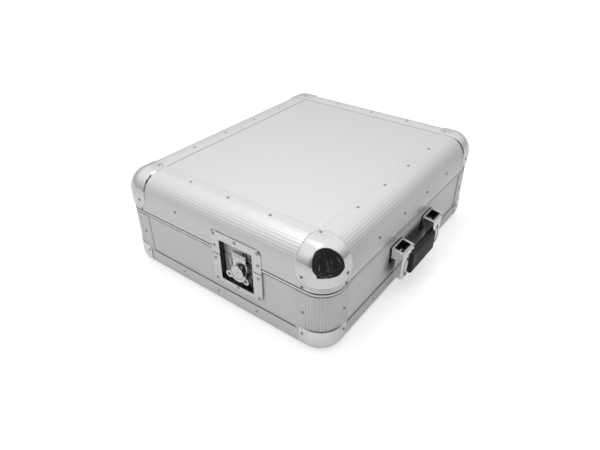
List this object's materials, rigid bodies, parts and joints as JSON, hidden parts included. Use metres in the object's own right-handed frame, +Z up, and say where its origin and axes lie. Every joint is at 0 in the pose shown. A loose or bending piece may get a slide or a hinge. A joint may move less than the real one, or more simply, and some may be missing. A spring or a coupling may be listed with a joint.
{
  "type": "turntable flight case",
  "caption": "Hinged flight case for a turntable: laminated panels in ribbed aluminium edging, riveted ball corners, recessed turn latches and a folding grip handle.",
  "frame": {"origin": "centre of the bounding box, on the floor under the corner caps", "axes": "+Z up through the lid, X along the case's length with the left latch at -X, -Y towards the handle and +Y towards the hinges"},
  "size_m": [0.5252, 0.467, 0.1816],
  "materials": {
    "laminate": "satin",
    "extrusion": "satin",
    "pressed_corner": "polished",
    "latch_plate": "satin",
    "handle_chrome": "polished",
    "hinge_steel": "satin",
    "grip_plastic": "matte",
    "foam": "matte"
  },
  "bodies": {
    "base": {"bottom_panel": "laminate", "base_front_panel": "laminate", "base_right_panel": "laminate", "base_back_panel": "laminate", "base_left_panel": "laminate", "corner_post_front_left": "extrusion", "corner_post_front_right": "extrusion", "corner_post_back_right": "extrusion", "corner_post_back_left": "extrusion", "bottom_edging_front": "extrusion", "bottom_edging_right": "extrusion", "bottom_edging_back": "extrusion", "bottom_edging_left": "extrusion", "corner_cap_front_left": "pressed_corner", "corner_cap_front_right": "pressed_corner", "corner_cap_back_right": "pressed_corner", "corner_cap_back_left": "pressed_corner", "base_rim_front": "extrusion", "base_rim_back": "extrusion", "foam_floor": "foam", "foam_front": "foam", "foam_back": "foam", "foam_left": "foam", "foam_right": "foam", "latch_dish_left": "latch_plate", "latch_dish_right": "latch_plate", "hinge_base_leaf_left": "hinge_steel", "hinge_base_leaf_right": "hinge_steel", "handle_bracket_left": "handle_chrome", "handle_bracket_right": "handle_chrome"},
    "lid": {"lid_top_panel": "laminate", "lid_front_panel": "laminate", "lid_right_panel": "laminate", "lid_back_panel": "laminate", "lid_left_panel": "laminate", "lid_edging_front": "extrusion", "lid_edging_right": "extrusion", "lid_edging_back": "extrusion", "lid_edging_left": "extrusion", "ball_corner_front_left": "pressed_corner", "ball_corner_front_right": "pressed_corner", "ball_corner_back_right": "pressed_corner", "ball_corner_back_left": "pressed_corner", "lid_rim_front": "extrusion", "lid_rim_back": "extrusion", "foam_lid": "foam", "keeper_dish_left": "latch_plate", "keeper_dish_right": "latch_plate", "hinge_lid_leaf_left": "hinge_steel", "hinge_lid_leaf_right": "hinge_steel"},
    "handle": {"handle_grip": "grip_plastic", "handle_arm_left": "handle_chrome", "handle_arm_right": "handle_chrome"},
    "left_hook": {"latch_hook_left": "latch_plate"},
    "left_key": {"latch_key_left": "latch_plate"},
    "left_wings": {"latch_wings_left": "latch_plate"},
    "right_hook": {"latch_hook_right": "latch_plate"},
    "right_key": {"latch_key_right": "latch_plate"},
    "right_wings": {"latch_wings_right": "latch_plate"}
  },
  "joints": [
    {"name": "lid_hinge", "type": "hinge", "parent": "base", "child": "lid", "pos_m": [0, 0.229, 0.115], "axis": [-1, 0, 0], "range_deg": [0, 100]},
    {"name": "handle_swing", "type": "hinge", "parent": "base", "child": "handle", "pos_m": [0, -0.224, 0.082], "axis": [-1, 0, 0], "range_deg": [0, 95]},
    {"name": "left_key_turn", "type": "hinge", "parent": "base", "child": "left_key", "pos_m": [-0.26, -0.0395, 0.08148], "axis": [-1, 0, 0], "range_deg": [0, 180]},
    {"name": "left_wing_fold", "type": "hinge", "parent": "left_key", "child": "left_wings", "pos_m": [-0.2595, -0.0395, 0.07848], "axis": [0, 1, 0], "range_deg": [0, 90]},
    {"name": "left_hook_slide", "type": "slide", "parent": "base", "child": "left_hook", "axis": [-0.2922, 0, 0.9564], "range_m": [0, 0.00753]},
    {"name": "right_key_turn", "type": "hinge", "parent": "base", "child": "right_key", "pos_m": [0.26, -0.0395, 0.08148], "axis": [1, 0, 0], "range_deg": [0, 180]},
    {"name": "right_wing_fold", "type": "hinge", "parent": "right_key", "child": "right_wings", "pos_m": [0.2595, -0.0395, 0.07848], "axis": [0, -1, 0], "range_deg": [0, 90]},
    {"name": "right_hook_slide", "type": "slide", "parent": "base", "child": "right_hook", "axis": [0.2922, 0, 0.9564], "range_m": [0, 0.00753]}
  ],
  "couplings": [
    {"joint": "left_hook_slide", "follows": "left_key_turn", "m_per_rad": 0.0023964},
    {"joint": "right_hook_slide", "follows": "right_key_turn", "m_per_rad": 0.0023964}
  ]
}
